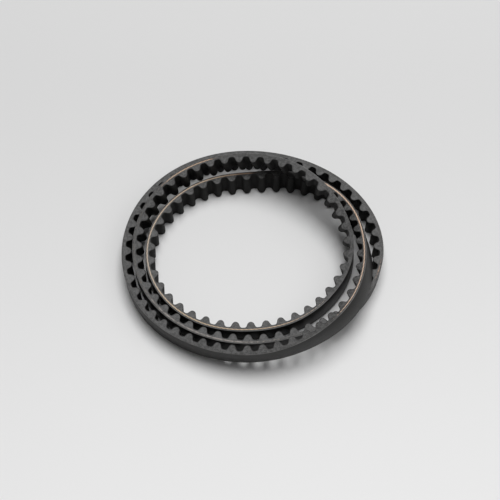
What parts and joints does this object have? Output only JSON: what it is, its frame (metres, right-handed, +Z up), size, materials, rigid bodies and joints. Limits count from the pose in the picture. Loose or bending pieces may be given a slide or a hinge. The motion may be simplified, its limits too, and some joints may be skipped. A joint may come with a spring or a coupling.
{
  "type": "timing belt",
  "caption": "Thin endless toothed drive belt with rounded teeth on its inner side, coiled loosely into three turns and lying on its cut edge.",
  "frame": {"origin": "middle of the coil's box in X and Y, on the surface the belt lies on", "axes": "+X along the coil's longest side, +Y across it, +Z up, along the belt's width"},
  "size_m": [0.0508, 0.0434, 0.0114],
  "materials": {
    "backing_rubber": "ground, matt",
    "tooth_rubber": "cut edge, matt",
    "tooth_facing": "fine woven nylon, rubber filled",
    "cord_s": "twisted glass yarn",
    "cord_z": "twisted glass yarn"
  },
  "bodies": {
    "root": {"backing_rubber": "backing_rubber", "tooth_rubber": "tooth_rubber", "tooth_facing": "tooth_facing", "tensile_cord_s": "cord_s", "tensile_cord_z": "cord_z"}
  },
  "joints": []
}
